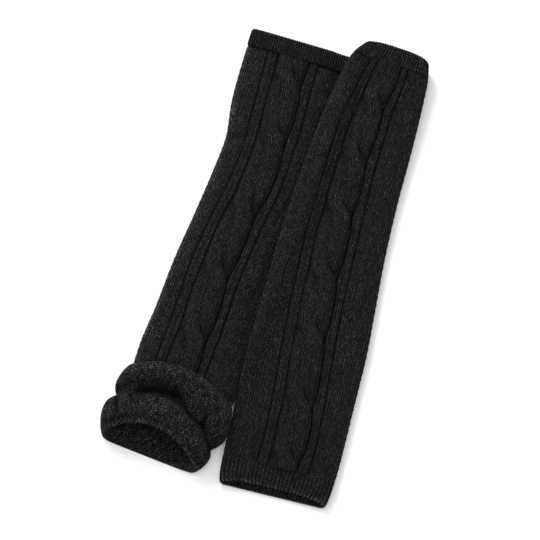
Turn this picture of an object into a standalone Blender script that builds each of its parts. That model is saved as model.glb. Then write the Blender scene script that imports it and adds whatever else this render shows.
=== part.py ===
"""A pair of footless over-the-knee socks in cable-knit wool, laid flat with one edge over the other.

Each sock is a knitted tube pressed flat. A rope cable between two narrow ribs runs down its front, with
plain knitting on both sides. Ribbed bands finish the open ends, and the lower end of the left sock is
turned up into a thick rolled cuff with an open mouth.

Lengths are in metres. +Y runs up the right sock from its hem, +Z is up from the surface they lie on.
"""
import math
from collections import namedtuple

import bmesh
import bpy
import numpy as np

# Overall build
WALL = 0.0032
SIDE_WALL = 1.25
SEAM_GAP = 0.0003
ROW_SPACING = 0.008
SIDE_SHARE = 0.46
EDGE_SAMPLES = 60
TOP_SAMPLES = 81
CORNER_SAMPLES = 9
INNER_ROWS = 9
DIRECTION_STEP = 0.0004
MERGE_DISTANCE = 0.000001
PAIR_CENTRE_X = -0.0622
PAIR_CENTRE_Y = 0.2350

# Knitted front: a cable between two ribs, set off by sunk grooves
CABLE_HALF = 0.0130
GROOVE_IN = 0.0146
RIB_IN = 0.0163
RIB_MIDDLE = 0.0203
RIB_OUT = 0.0243
GROOVE_OUT = 0.0260
PLAIN_START = 0.0277
GROOVE_DEPTH = 0.0014
RIB_HEIGHT = 0.0011
RIB_MIDDLE_HEIGHT = 0.0005
STRAND_SWING = 0.0062
SWING_FLATNESS = 0.5
STRAND_HALF = 0.0068
STRAND_SPREAD = 0.0014
STRAND_HEIGHT = 0.0025
CROSSING_HEIGHT = 0.0012
CABLE_POINTS = 10
RELIEF_FADE = 0.008

# Ribbed bands: the height of a rib's crest, the depth between ribs, and how far the two rims are turned in
BAND_CREST = 0.0010
BAND_TROUGH = 0.0004
LIP_INSET = 0.0008
BAND_STEPS = ((0.0, 0.3), (0.06, 1.0), (0.5, 1.0), (0.94, 1.0), (1.0, 0.3))

# How the left sock's right margin is pressed down, and how the right sock climbs over it
PRESSED_WIDTH = 0.026
PRESSED_SLOPE = 0.6
PRESSED_SHARE = 0.30
PRESSED_FROM = 0.100
PRESSED_FADE = 0.040
CLIMB_START = 0.018
CLIMB_WIDTH = 0.021

# Points along the underside of each section, as shares of the way from the right edge to the left
UNDER_SHARES = (0.03, 0.07, 0.35, 0.66, 0.74, 0.80, 0.86, 0.92, 0.97)
SIDE_SHARES = (0.35, 0.66, 0.85, 0.95, 1.0)

# Turned-up cuff
CUFF_POINTS = 56
CUFF_UNDERSIDE_ROUNDNESS = 7.0
CUFF_SIDE_SHARE = 0.42
CUFF_CLEARANCE = 0.0008
CUFF_COLLAR = 0.0845
CUFF_EDGE = 0.0885
PUCKER_COUNT = 13
PUCKER_DEPTH = 0.0011

CHARCOAL = (0.0137, 0.0137, 0.0144, 1.0)
CHARCOAL_BAND = (0.0116, 0.0116, 0.0123, 1.0)
CHARCOAL_REVERSE = (0.0160, 0.0160, 0.0166, 1.0)
WOOL_ROUGHNESS = 0.92

# One row for each section across a sock: along and cable_x place the cable's centre, slant turns the section,
# left and right are its reach from the cable, height is the flattened tube's, roundness is 7 for a flat tube
# and near 2 for a round one, raised is how far the whole section stands off the surface, and climb how far
# its left margin does.
Section = namedtuple("Section", "along cable_x slant left right height roundness raised climb")

RIGHT_SOCK = [
    Section(-0.012, 0.0040, 0.0, 0.0550, 0.0490, 0.0090, 6.0, 0.0, 0.0),
    Section(0.000, 0.0040, 0.0, 0.0580, 0.0520, 0.0092, 6.0, 0.0, 0.0),
    Section(0.022, 0.0045, 0.0, 0.0605, 0.0535, 0.0094, 6.0, 0.0, 0.0),
    Section(0.060, 0.0055, 0.0, 0.0624, 0.0530, 0.0096, 6.0, 0.0, 0.0),
    Section(0.075, 0.0045, 0.0, 0.0620, 0.0538, 0.0097, 6.0, 0.0, 0.0),
    Section(0.100, 0.0030, 0.0, 0.0614, 0.0550, 0.0098, 6.0, 0.0, 0.0050),
    Section(0.125, 0.0010, 0.0, 0.0600, 0.0568, 0.0100, 6.0, 0.0, 0.0074),
    Section(0.150, -0.0010, 0.0, 0.0580, 0.0585, 0.0100, 6.0, 0.0, 0.0077),
    Section(0.200, -0.0040, 0.0, 0.0540, 0.0585, 0.0100, 6.0, 0.0, 0.0079),
    Section(0.260, -0.0060, 0.0, 0.0510, 0.0565, 0.0104, 5.5, 0.0, 0.0079),
    Section(0.320, -0.0060, 0.0, 0.0475, 0.0550, 0.0115, 5.0, 0.0, 0.0079),
    Section(0.370, -0.0045, -1.0, 0.0445, 0.0540, 0.0138, 4.2, 0.0, 0.0079),
    Section(0.400, -0.0020, -2.0, 0.0430, 0.0515, 0.0163, 3.6, 0.0, 0.0081),
    Section(0.430, 0.0025, -4.0, 0.0420, 0.0465, 0.0195, 3.1, 0.0, 0.0090),
    Section(0.457, 0.0070, -4.5, 0.0388, 0.0405, 0.0220, 2.8, 0.0, 0.0104),
    Section(0.472, 0.0085, -5.5, 0.0300, 0.0360, 0.0225, 2.6, 0.0, 0.0104),
]
RIGHT_HEM_END = -0.0054
RIGHT_HEM_SEAM = 0.0220
RIGHT_TOP_SEAM = 0.4565
RIGHT_TOP_END = 0.4700
RIGHT_CROSSINGS = [0.0320, 0.0930, 0.1650, 0.2290, 0.2960, 0.3540, 0.4130]

LEFT_SOCK = [
    Section(0.055, -0.1205, -8.5, 0.0440, 0.0520, 0.0090, 6.0, 0.0036, 0.0),
    Section(0.080, -0.1200, -8.5, 0.0460, 0.0565, 0.0092, 6.0, 0.0036, 0.0),
    Section(0.092, -0.1191, -8.3, 0.0465, 0.0610, 0.0094, 6.0, 0.0033, 0.0),
    Section(0.105, -0.1180, -8.0, 0.0470, 0.0597, 0.0096, 6.0, 0.0026, 0.0),
    Section(0.150, -0.1140, -7.0, 0.0455, 0.0615, 0.0100, 6.0, 0.0, 0.0),
    Section(0.200, -0.1108, -8.0, 0.0437, 0.0628, 0.0100, 6.0, 0.0, 0.0),
    Section(0.260, -0.1024, -9.0, 0.0431, 0.0604, 0.0100, 6.0, 0.0, 0.0),
    Section(0.300, -0.0945, -8.0, 0.0455, 0.0580, 0.0100, 6.0, 0.0, 0.0),
    Section(0.345, -0.0905, -5.0, 0.0455, 0.0570, 0.0100, 6.0, 0.0, 0.0),
    Section(0.375, -0.0900, -4.0, 0.0492, 0.0585, 0.0100, 6.0, 0.0, 0.0),
    Section(0.440, -0.0900, -3.0, 0.0490, 0.0600, 0.0100, 6.0, 0.0, 0.0),
    Section(0.462, -0.0900, -3.0, 0.0482, 0.0590, 0.0100, 6.0, 0.0, 0.0),
]
LEFT_LOWER_END = 0.0600
LEFT_TOP_SEAM = 0.4430
LEFT_TOP_END = 0.4600
LEFT_CROSSINGS = [0.1350, 0.2055, 0.2750, 0.3600, 0.4180]

# The two cabled legs. relief_from is where the cable and ribs begin, and full_width the section's width below
# which they are drawn in with the cloth.
Leg = namedtuple("Leg", "name sock start end crossings climbs relief_from full_width")

LEGS = [
    Leg("left_leg", LEFT_SOCK, LEFT_LOWER_END, LEFT_TOP_SEAM, LEFT_CROSSINGS, False, CUFF_EDGE, 0.105),
    Leg("right_leg", RIGHT_SOCK, RIGHT_HEM_SEAM, RIGHT_TOP_SEAM, RIGHT_CROSSINGS, True, -1.0, 0.107),
]

# The three ribbed bands. proud is a band's rise over its leg, and dip how far the middle of its front rim
# stands back from the sides.
Band = namedtuple("Band", "name sock seam end ribs proud dip wall climbs")

BANDS = [
    Band("left_top_band", LEFT_SOCK, LEFT_TOP_SEAM, LEFT_TOP_END, 46, 0.0016, 0.0, 0.0040, False),
    Band("right_top_band", RIGHT_SOCK, RIGHT_TOP_SEAM, RIGHT_TOP_END, 30, 0.0008, -0.0040, 0.0034, True),
    Band("right_hem_band", RIGHT_SOCK, RIGHT_HEM_SEAM, RIGHT_HEM_END, 30, 0.0003, 0.0070, WALL, True),
]

# One row for each ring of the turned-up cuff, from inside the mouth round the lower ring, through the valley
# and over the upper roll. top, left, right and under are places along Y, left_x and right_x the sides, top_z
# and under_z the heights, and pucker the share of the gathers' depth.
CuffRing = namedtuple("CuffRing", "top left right under left_x right_x top_z under_z pucker roundness")

CUFF = [
    CuffRing(0.0470, 0.0520, 0.0370, 0.0450, -0.1640, -0.0760, 0.0122, 0.0052, 0.0, 3.4),
    CuffRing(0.0335, 0.0255, 0.0125, 0.0150, -0.1700, -0.0860, 0.0195, 0.0036, 0.0, 2.6),
    CuffRing(0.0292, 0.0175, 0.0040, 0.0055, -0.1722, -0.0830, 0.0228, 0.0022, 0.0, 2.5),
    CuffRing(0.0285, 0.0150, 0.0015, 0.0035, -0.1768, -0.0785, 0.0262, 0.0000, 0.0, 2.4),
    CuffRing(0.0365, 0.0220, 0.0055, 0.0120, -0.1812, -0.0722, 0.0285, 0.0000, 0.2, 2.4),
    CuffRing(0.0480, 0.0350, 0.0120, 0.0220, -0.1832, -0.0686, 0.0284, 0.0000, 0.7, 2.4),
    CuffRing(0.0560, 0.0450, 0.0170, 0.0300, -0.1815, -0.0674, 0.0258, 0.0000, 1.0, 2.5),
    CuffRing(0.0592, 0.0505, 0.0205, 0.0340, -0.1780, -0.0680, 0.0218, 0.0000, 0.6, 2.6),
    CuffRing(0.0625, 0.0532, 0.0232, 0.0370, -0.1745, -0.0690, 0.0184, 0.0000, 0.0, 2.8),
    CuffRing(0.0680, 0.0560, 0.0262, 0.0400, -0.1738, -0.0670, 0.0180, 0.0000, 0.0, 2.8),
    CuffRing(0.0725, 0.0590, 0.0300, 0.0430, -0.1752, -0.0630, 0.0204, 0.0000, 0.0, 2.7),
    CuffRing(0.0765, 0.0635, 0.0370, 0.0480, -0.1768, -0.0592, 0.0252, 0.0000, 0.0, 2.5),
    CuffRing(0.0835, 0.0710, 0.0480, 0.0540, -0.1762, -0.0577, 0.0278, 0.0000, 0.0, 2.4),
    CuffRing(0.0905, 0.0790, 0.0595, 0.0610, -0.1735, -0.0577, 0.0262, 0.0000, 0.0, 2.4),
    CuffRing(0.0955, 0.0855, 0.0685, 0.0680, -0.1705, -0.0583, 0.0215, 0.0000, 0.0, 2.6),
    CuffRing(0.0958, 0.0880, 0.0725, 0.0715, -0.1688, -0.0592, 0.0174, 0.0008, 0.0, 3.4),
    CuffRing(0.0920, 0.0870, 0.0720, 0.0715, -0.1680, -0.0600, 0.0152, 0.0022, 0.0, 4.8),
]


def smooth_step(value):
    """0 below 0, 1 above 1, with soft ends between."""
    clamped = np.clip(value, 0.0, 1.0)
    return clamped * clamped * (3.0 - 2.0 * clamped)


def section_at(table, along):
    """The table's row at a place between its rows, on a smooth curve through them."""
    places = np.array([row.along for row in table])
    rows = np.array(table)
    slopes = np.gradient(rows, places, axis=0)
    index = int(np.clip(np.searchsorted(places, along) - 1, 0, len(table) - 2))
    span = places[index + 1] - places[index]
    part = np.clip((along - places[index]) / span, 0.0, 1.0)
    ends = (2 * part**3 - 3 * part**2 + 1, 3 * part**2 - 2 * part**3)
    bends = (part**3 - 2 * part**2 + part, part**3 - part**2)
    values = ends[0] * rows[index] + ends[1] * rows[index + 1]
    values += span * (bends[0] * slopes[index] + bends[1] * slopes[index + 1])
    section = Section(*values)
    return section._replace(raised=max(section.raised, 0.0), climb=max(section.climb, 0.0))


def outline(section):
    """Points round one section's outer face, from the cable's centre by the right, and the length to each."""
    middle = (section.right - section.left) / 2
    half = (section.right + section.left) / 2
    side = SIDE_SHARE * section.height
    rounded = np.cos(np.linspace(0.0, math.pi / 2, EDGE_SAMPLES)) ** (2.0 / section.roundness)
    reach = np.concatenate([rounded, -rounded, np.linspace(-1.0, 1.0, TOP_SAMPLES), [-middle / half]])
    reach = np.unique(np.round(reach, 9))
    power = section.roundness
    top_x = middle + half * reach
    top_z = side + (section.height - side) * (1.0 - np.abs(reach) ** power) ** (1.0 / power)
    corner = np.linspace(0.0, math.pi / 2, CORNER_SAMPLES)[1:]
    under_x = half - side * (1.0 - np.cos(corner))
    under_z = side * (1.0 - np.sin(corner))
    centre = int(np.argmin(np.abs(top_x)))
    x = np.concatenate([top_x[centre:], middle + under_x, middle - under_x[::-1], top_x[:centre + 1]])
    z = np.concatenate([top_z[centre:], under_z, under_z[::-1], top_z[:centre + 1]])
    lengths = np.concatenate([[0.0], np.cumsum(np.hypot(np.diff(x), np.diff(z)))])
    return x, z, lengths


def strand_height(across, phase):
    """Height of one strand of the rope cable. It crosses over at even phases and under at odd ones."""
    swing = math.sin(math.pi * phase)
    centre = -STRAND_SWING * ((1.0 + SWING_FLATNESS) * swing - SWING_FLATNESS * swing**3)
    over = math.cos(math.pi * phase)
    half = STRAND_HALF + STRAND_SPREAD * max(over, 0.0)
    bulge = math.sqrt(max(0.0, 1.0 - ((across - centre) / half) ** 2))
    return STRAND_HEIGHT * bulge + CROSSING_HEIGHT * over * bulge


def cable_height(across, along, crossings):
    """Height of the rope cable, the higher of its two strands."""
    spacing = (crossings[-1] - crossings[0]) / (len(crossings) - 1)
    places = [crossings[0] - spacing] + crossings + [crossings[-1] + spacing]
    phase = float(np.interp(along, places, range(len(places))))
    return max(strand_height(across, phase), strand_height(across, phase + 1.0))


def front_relief(across, along, crossings):
    """Height of the knitted front over plain knitting, at a distance across from the cable's centre."""
    distance = abs(across)
    if distance <= CABLE_HALF:
        return cable_height(across, along, crossings)
    edges = [CABLE_HALF, GROOVE_IN, RIB_IN, RIB_MIDDLE, RIB_OUT, GROOVE_OUT, PLAIN_START]
    heights = [0.0, -GROOVE_DEPTH, RIB_HEIGHT, RIB_MIDDLE_HEIGHT, RIB_HEIGHT, -GROOVE_DEPTH, 0.0]
    return float(np.interp(distance, edges, heights))


def front_stops():
    """Distances across the cable and ribs at which the wall has a point."""
    cable = list(np.linspace(-CABLE_HALF, CABLE_HALF, CABLE_POINTS))
    side = [GROOVE_IN, RIB_IN, RIB_MIDDLE, RIB_OUT, GROOVE_OUT, PLAIN_START]
    return [-stop for stop in reversed(side)] + cable + side


def round_section(section, stops):
    """Lengths round the outline: the front stops, then the right side, the underside and the left side."""
    x, _, lengths = outline(section)
    total = lengths[-1]
    right_edge = lengths[int(np.argmax(x))]
    left_edge = lengths[int(np.argmin(x))] - total
    right = [stops[-1] + share * (right_edge - stops[-1]) for share in SIDE_SHARES]
    left = [stops[0] + share * (left_edge - stops[0]) for share in reversed(SIDE_SHARES)]
    under = [right_edge + share * (left_edge + total - right_edge) for share in UNDER_SHARES]
    return list(stops) + right + under + left


def pressed(section, across):
    """Share of its height that a section of the left sock keeps, less at the margin that is lain upon."""
    depth = (across - (section.right - PRESSED_WIDTH)) / (PRESSED_SLOPE * PRESSED_WIDTH)
    lain_upon = (section.along - PRESSED_FROM) / PRESSED_FADE
    return 1.0 - PRESSED_SHARE * float(smooth_step(depth) * smooth_step(lain_upon))


def right_edges(table):
    """Places of a sock's right edge, as the rising Y and the X at each."""
    sections = [section_at(table, along) for along in np.arange(table[0].along, table[-1].along, ROW_SPACING)]
    angles = [math.radians(section.slant) for section in sections]
    y = [section.along + section.right * math.sin(angle) for section, angle in zip(sections, angles)]
    x = [section.cable_x + section.right * math.cos(angle) for section, angle in zip(sections, angles)]
    return np.array(y), np.array(x)


LEFT_EDGE_Y, LEFT_EDGE_X = right_edges(LEFT_SOCK)


def place(section, across, height, along_shift, climbs):
    """A point of a section in the pair's frame."""
    angle = math.radians(section.slant)
    x = section.cable_x + across * math.cos(angle) - along_shift * math.sin(angle)
    y = section.along + across * math.sin(angle) + along_shift * math.cos(angle)
    z = height + section.raised
    if climbs:
        edge = float(np.interp(y, LEFT_EDGE_Y, LEFT_EDGE_X))
        z += section.climb * float(smooth_step((edge + CLIMB_START - x) / CLIMB_WIDTH))
    else:
        z = section.raised + height * pressed(section, across)
    return x - PAIR_CENTRE_X, y - PAIR_CENTRE_Y, z


def outer_ring(section, lengths, relief, along_shift, climbs):
    """Points round a section's outer face, each moved out by its relief and along by its shift."""
    x, z, measured = outline(section)
    total = measured[-1]
    points = []
    for length in lengths:
        spot = length % total
        across = float(np.interp(spot, measured, x))
        height = float(np.interp(spot, measured, z))
        ahead = min(spot + DIRECTION_STEP, total)
        behind = max(spot - DIRECTION_STEP, 0.0)
        run_x = float(np.interp(ahead, measured, x) - np.interp(behind, measured, x))
        run_z = float(np.interp(ahead, measured, z) - np.interp(behind, measured, z))
        size = math.hypot(run_x, run_z)
        out = relief(length)
        across -= out * run_z / size
        height += out * run_x / size
        points.append(place(section, across, height, along_shift(length), climbs))
    return points


def inner_ring(section, lengths, along_shift, climbs, wall=WALL):
    """Points round a section's plain inner face, opposite the outer points."""
    x, z, measured = outline(section)
    total = measured[-1]
    middle = (section.right - section.left) / 2
    half = (section.right + section.left) / 2
    low, high = wall, section.height - wall
    points = []
    for length in lengths:
        spot = length % total
        across = float(np.interp(spot, measured, x))
        height = float(np.interp(spot, measured, z))
        across = middle + (across - middle) * (half - SIDE_WALL * wall) / half
        height = low + (high - low) * height / section.height
        points.append(place(section, across, height, along_shift(length), climbs))
    return points


def wool(name, colour):
    """A matt wool finish."""
    finish = bpy.data.materials.new(name)
    finish.use_nodes = True
    shader = finish.node_tree.nodes["Principled BSDF"]
    shader.inputs["Base Color"].default_value = colour
    shader.inputs["Roughness"].default_value = WOOL_ROUGHNESS
    shader.inputs["Metallic"].default_value = 0.0
    return finish


def closed_wall(name, rings, finish):
    """A closed wall through rings of equal count, with the last ring joined to the first."""
    around = len(rings[0])
    count = len(rings)
    shape = bmesh.new()
    bmesh.ops.create_grid(shape, x_segments=around, y_segments=count, size=1.0)
    for vertex in shape.verts:
        column = round((vertex.co.x + 1.0) / 2.0 * around) % around
        row = round((vertex.co.y + 1.0) / 2.0 * count) % count
        vertex.co = rings[row][column]
    bmesh.ops.remove_doubles(shape, verts=shape.verts, dist=MERGE_DISTANCE)
    bmesh.ops.recalc_face_normals(shape, faces=shape.faces)
    mesh = bpy.data.meshes.new(name)
    shape.to_mesh(mesh)
    shape.free()
    mesh.materials.append(finish)
    mesh.shade_smooth()
    wall = bpy.data.objects.new(name, mesh)
    bpy.context.scene.collection.objects.link(wall)
    return wall


def no_shift(_length):
    return 0.0


def leg(row, finish):
    """The cabled length of a sock, between its bands."""
    start = row.start + SEAM_GAP / 2
    end = row.end - SEAM_GAP / 2
    count = round((end - start) / ROW_SPACING) + 1
    stops = front_stops()
    rings = []
    for along in np.linspace(start, end, count):
        section = section_at(row.sock, along)
        drawn_in = min(1.0, (section.left + section.right) / row.full_width)
        lengths = round_section(section, [stop * drawn_in for stop in stops])
        total = outline(section)[2][-1]
        fade = float(smooth_step((along - row.relief_from) / RELIEF_FADE))

        def relief(length):
            across = length if length < total / 2 else length - total
            return fade * front_relief(across / drawn_in, along, row.crossings)

        rings.append(outer_ring(section, lengths, relief, no_shift, row.climbs))
    for along in np.linspace(end, start, INNER_ROWS):
        section = section_at(row.sock, along)
        drawn_in = min(1.0, (section.left + section.right) / row.full_width)
        lengths = round_section(section, [stop * drawn_in for stop in stops])
        rings.append(inner_ring(section, lengths, no_shift, row.climbs))
    return closed_wall(row.name, rings, finish)


def band_ring(row, share, rise, inner):
    """One ring of a ribbed band, at a share of the way from seam to rim. rise is less at a turned-in rim."""
    outward = math.copysign(1.0, row.end - row.seam)
    seam = row.seam + outward * SEAM_GAP / 2
    section = section_at(row.sock, seam + share * (row.end - seam))
    section = section._replace(height=section.height + row.proud)
    x, _, measured = outline(section)
    total = measured[-1]
    right_edge = measured[int(np.argmax(x))]
    left_edge = measured[int(np.argmin(x))] - total
    pitch = (right_edge - left_edge) / (2 * row.ribs)
    lengths = [left_edge + step * pitch for step in range(2 * row.ribs + 1)]
    lengths += [right_edge + part * (left_edge + total - right_edge) for part in UNDER_SHARES]

    def relief(length):
        step = round((length - left_edge) / pitch)
        turned_in = -LIP_INSET * (1.0 - rise)
        if step <= 0 or step >= 2 * row.ribs:
            return turned_in
        return (BAND_CREST if step % 2 else -BAND_TROUGH) * rise + turned_in

    def shift(length):
        reach = (2 * length - left_edge - right_edge) / (right_edge - left_edge)
        return -outward * row.dip * share * max(0.0, 1.0 - reach**4)

    if inner:
        return inner_ring(section, lengths, shift, row.climbs, row.wall)
    return outer_ring(section, lengths, relief, shift, row.climbs)


def band(row, finish):
    """A ribbed band at a sock's open end."""
    rings = [band_ring(row, share, rise, False) for share, rise in BAND_STEPS]
    rings += [band_ring(row, share, 1.0, True) for share in (1.0, 0.5, 0.0)]
    return closed_wall(row.name, rings, finish)


def cuff_turns(top_roundness):
    """The way round a cuff's ring: whether each point is on the top, its rise and its reach to the side."""
    turns = []
    for step in range(CUFF_POINTS):
        turn = 2.0 * math.pi * step / CUFF_POINTS
        upper = math.sin(turn) >= 0.0
        power = 2.0 / (top_roundness if upper else CUFF_UNDERSIDE_ROUNDNESS)
        rise = abs(math.sin(turn)) ** power
        reach = math.copysign(abs(math.cos(turn)) ** power, math.cos(turn))
        turns.append((upper, rise, reach))
    return turns


def collar_ring(along, out):
    """Points round the left leg, its outer face moved out, or in where out is less than nothing."""
    section = section_at(LEFT_SOCK, along)
    middle = (section.right - section.left) / 2
    half = (section.right + section.left) / 2 + (out if out > 0.0 else SIDE_WALL * out)
    side = SIDE_SHARE * section.height
    points = []
    for upper, rise, reach in cuff_turns(section.roundness):
        height = side + (section.height - side + out) * rise if upper else side - (side + out) * rise
        points.append(place(section, middle + half * reach, height, 0.0, False))
    return points


def cuff_ring(row):
    """Points round one ring of the turned-up cuff."""
    points = []
    middle = (row.left_x + row.right_x) / 2
    half = (row.right_x - row.left_x) / 2
    side_z = row.under_z + CUFF_SIDE_SHARE * (row.top_z - row.under_z)
    for upper, rise, reach in cuff_turns(row.roundness):
        x = middle + half * reach
        y = row.left + (row.right - row.left) * (reach + 1.0) / 2
        if upper:
            fold = math.sin(PUCKER_COUNT * math.pi * (reach + 1.0))
            y += (row.top - (row.left + row.right) / 2) * (1.0 - reach**2)
            z = side_z + (row.top_z - side_z) * rise + row.pucker * PUCKER_DEPTH * fold * rise
        else:
            y += (row.under - (row.left + row.right) / 2) * rise
            z = side_z + (row.under_z - side_z) * rise
        points.append((x - PAIR_CENTRE_X, y - PAIR_CENTRE_Y, z))
    return points


def turned_up_cuff(name, finish):
    """The lower end of the left sock, turned up over its leg in a lower ring and an upper roll."""
    mouth_end = LEFT_LOWER_END - CUFF_CLEARANCE
    rings = [collar_ring(CUFF_COLLAR, CUFF_CLEARANCE), collar_ring(mouth_end, CUFF_CLEARANCE)]
    rings.append(collar_ring(mouth_end, -WALL))
    rings += [cuff_ring(row) for row in CUFF]
    return closed_wall(name, rings, finish)


def pair_of_socks():
    """Both socks, as they lie."""
    knit = wool("charcoal cable knit wool", CHARCOAL)
    ribbed = wool("charcoal ribbed wool", CHARCOAL_BAND)
    reverse = wool("charcoal wool, reverse side", CHARCOAL_REVERSE)
    for row in LEGS:
        leg(row, knit)
    for row in BANDS:
        band(row, ribbed)
    turned_up_cuff("left_turned_cuff", reverse)


for old in list(bpy.data.objects):
    bpy.data.objects.remove(old)
pair_of_socks()
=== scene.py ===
import math
from collections import namedtuple

import bmesh
import bpy
import numpy as np
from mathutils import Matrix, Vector


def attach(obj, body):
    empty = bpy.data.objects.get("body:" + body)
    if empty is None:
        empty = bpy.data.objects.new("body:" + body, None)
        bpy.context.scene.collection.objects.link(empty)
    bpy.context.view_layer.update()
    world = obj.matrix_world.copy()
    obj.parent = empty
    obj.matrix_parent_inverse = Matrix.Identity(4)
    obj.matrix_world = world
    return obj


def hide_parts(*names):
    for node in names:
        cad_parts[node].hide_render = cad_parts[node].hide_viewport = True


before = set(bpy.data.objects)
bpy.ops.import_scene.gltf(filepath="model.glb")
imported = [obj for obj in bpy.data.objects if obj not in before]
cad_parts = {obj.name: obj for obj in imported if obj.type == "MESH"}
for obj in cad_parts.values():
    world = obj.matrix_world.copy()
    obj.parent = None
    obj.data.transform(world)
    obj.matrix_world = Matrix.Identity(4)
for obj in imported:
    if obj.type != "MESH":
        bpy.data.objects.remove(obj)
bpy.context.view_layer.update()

# A pair of footless over-the-knee socks in charcoal wool, laid flat. Lengths are in metres. In the laid frame
# the right sock's hem is centred on the origin and +Y runs up that sock. The pair's own frame has its origin
# at the pair's centre.
PAIR_CENTRE_X = -0.0622
PAIR_CENTRE_Y = 0.2350

# The cloth
WALL = 0.0030
SIDE_WALL = 1.25
SIDE_SHARE = 0.46
WALE = 0.0023
COURSE = 0.0021
SEAM_LAP = 0.0010
SEAM_DEPTH = 0.0007
SEAM_WIDTHS = (0.0016, 0.0022)
RIM_BULGE = 0.45
REVERSE_STITCH = 0.0027
EDGE_ROLL = 0.0016
EDGE_ROLL_WIDTH = 0.012
EDGE_MARGIN = 0.006
RAGGED_EDGE = 0.0002
RAGGED_WIDTH = 0.004
LEG_WAVER = 0.0004

# How finely the cloth is divided
LEG_ROW = 0.0014
INNER_RINGS = 16
EDGE_SAMPLES = 60
TOP_SAMPLES = 81
CORNER_SAMPLES = 9
TANGENT_STEP = 0.0004
TABLE_STEP = 0.008
RIB_COLUMNS = 8
UNDER_COLUMNS = 4
CUFF_COLUMNS = 240
CUFF_STEPS = 8
MERGE_DISTANCE = 0.000002

# The knitted front: a rope cable between two ribs, set off by sunk grooves
CABLE_HALF = 0.0132
GROOVE_IN = 0.0146
RIB_MIDDLE = 0.0203
GROOVE_OUT = 0.0260
PLAIN_START = 0.0285
GROOVE_IN_DEPTH = 0.0024
GROOVE_OUT_DEPTH = 0.0017
GROOVE_WIDTH = 0.0009
LEFT_GROOVE_SHARE = 0.62
RIB_HEIGHT = 0.0010
RIB_START = 0.0004
RIB_END = 0.0256
RIB_SHOULDERS = (0.0016, 0.0014)
RIB_DIP = 0.0006
RIB_DIP_WIDTH = 0.0009
RELIEF_FADE = 0.006
STRAND_SWING = 0.0059
STRAND_HALF = 0.0074
STRAND_SPREAD = 0.0024
STRAND_HEIGHT = 0.0030
CROSSING_HEIGHT = 0.0016
OVER_TURN = 3.0
UNDER_TURN = 10.0
CREASE_DEPTH = 0.0018
CREASE_WIDTH = 0.0011
CREASE_ABOVE = 0.22
CREASE_BELOW = 0.20
CREASE_BELOW_SHARE = 0.30
CREASE_FADE = 0.12
CABLE_BULGE = 0.0028
LEFT_BULGE_SHARE = 0.45
NOTCH_PHASE = 0.07
NOTCH_LENGTH = 0.05
NOTCH_WIDTH = 0.0016

# Painted light and shade: a light value scales the wool's colour, where plain knitting in the open is 1. A light
# is painted highlight, and crests, lips and folds change it by their height in metres; a shade is painted shade,
# what is taken away in a hollow.
CABLE_LIGHT = 0.62
STRAND_LIGHT = 0.42
CREASE_SHADE = 0.9
NOTCH_SHADE = 0.6
RIB_LIGHT = 120.0
RIB_DIP_SHADE = 0.3
GROOVE_IN_SHADE = 0.8
GROOVE_OUT_SHADE = 0.65
SEAM_SHADE = 0.35
# Painted light and a narrow painted sheen on the left margins, a painted highlight on the right sock's edge, and
# painted shade on the left sock beside the right one
EDGE_LIGHT_WIDTH = 0.013
EDGE_GLOW = 4.0
EDGE_GLOW_WIDTH = 0.005
RIGHT_EDGE_LIGHT = 0.5
RIGHT_EDGE_WIDTH = 0.004
BESIDE_SHADE = 0.6
BESIDE_WIDTH = 0.012
BESIDE_END = 0.170
BESIDE_FADE = 0.040
UPPER_LIGHT = 1.03
HEM_SHADE = 0.12
HEM_SHADE_END = 0.150
HEM_SHADE_FADE = 0.120
# Painted shade inside the tubes, the bands and the cuff's mouth and folds, and painted highlight on the bands'
# crests and rims and the cuff's lip
INSIDE_LIGHT = 0.6
BAND_LIGHT = 0.95
BAND_CREST_LIGHT = 240.0
BAND_TUCK_SHADE = 0.7
BAND_EDGE_LIGHT = 0.3
BAND_RIM_WIDTH = 0.045
LIP_LIGHT = 280.0
FOLD_SHADE = 300.0
MOUTH_TOP_LIGHT = 0.16
MOUTH_FLOOR_LIGHT = 1.05
CUFF_INSIDE_LIGHT = 0.5

# The ribbed bands: ribs differ in height and wander a little, begin at uneven places, and scallop the rim
RIB_UNEVENNESS = 0.25
RIB_WANDER = 0.12
RIB_BEGINS = 0.6
RIB_BEGINS_SPREAD = 0.5
RIB_BEGINS_SOFT = 0.02
BAND_MARGIN = 0.005
BAND_TUCK = 0.0009
BAND_SCALLOP = 0.0004

# How the left sock's right margin is pressed down, and how the right sock climbs over it
PRESSED_WIDTH = 0.026
PRESSED_SHARE = 0.30
PRESSED_FROM = 0.100
PRESSED_FADE = 0.040
CLIMB_START = 0.018
CLIMB_WIDTH = 0.021

# The turned-up cuff
CUFF_COLLAR = 0.0845
CUFF_EDGE = 0.0885
CUFF_CLEARANCE = 0.0008
CUFF_SIDE_SHARE = 0.42
CUFF_UNDERSIDE_ROUNDNESS = 7.0
PUCKER_COUNT = 13
PUCKER_DEPTH = 0.0012
CUFF_ROUND = 0.236
CUFF_WAVER = 0.0007
LIP_HEIGHT = 0.0012
LIP_DIP = 0.0014
LIP_RING = 3.0
LIP_DIP_RING = 3.7
LIP_WIDTH = 0.25
FOLDS_FROM_RING = 3.5
MOUTH_RING = 1.8
MOUTH_FADE = 0.9
COLLAR_TUCK = 0.0004

# The view of the photograph and its light
VIEW_TURN = 14.2
VIEW_RISE = 72.0
VIEW_DISTANCE = 6.0
VIEW_TARGET = (0.0037, -0.0134, 0.0)
FRAME_WIDTH = 0.540
KEY_PLACE = (-1.6, 1.7, 1.25)
KEY_SIZE = 1.6
KEY_POWER = 80.0
SURROUND = 1.10
FLOOR_HALF = 2.5
FLOOR_DROP = 0.0002

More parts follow.
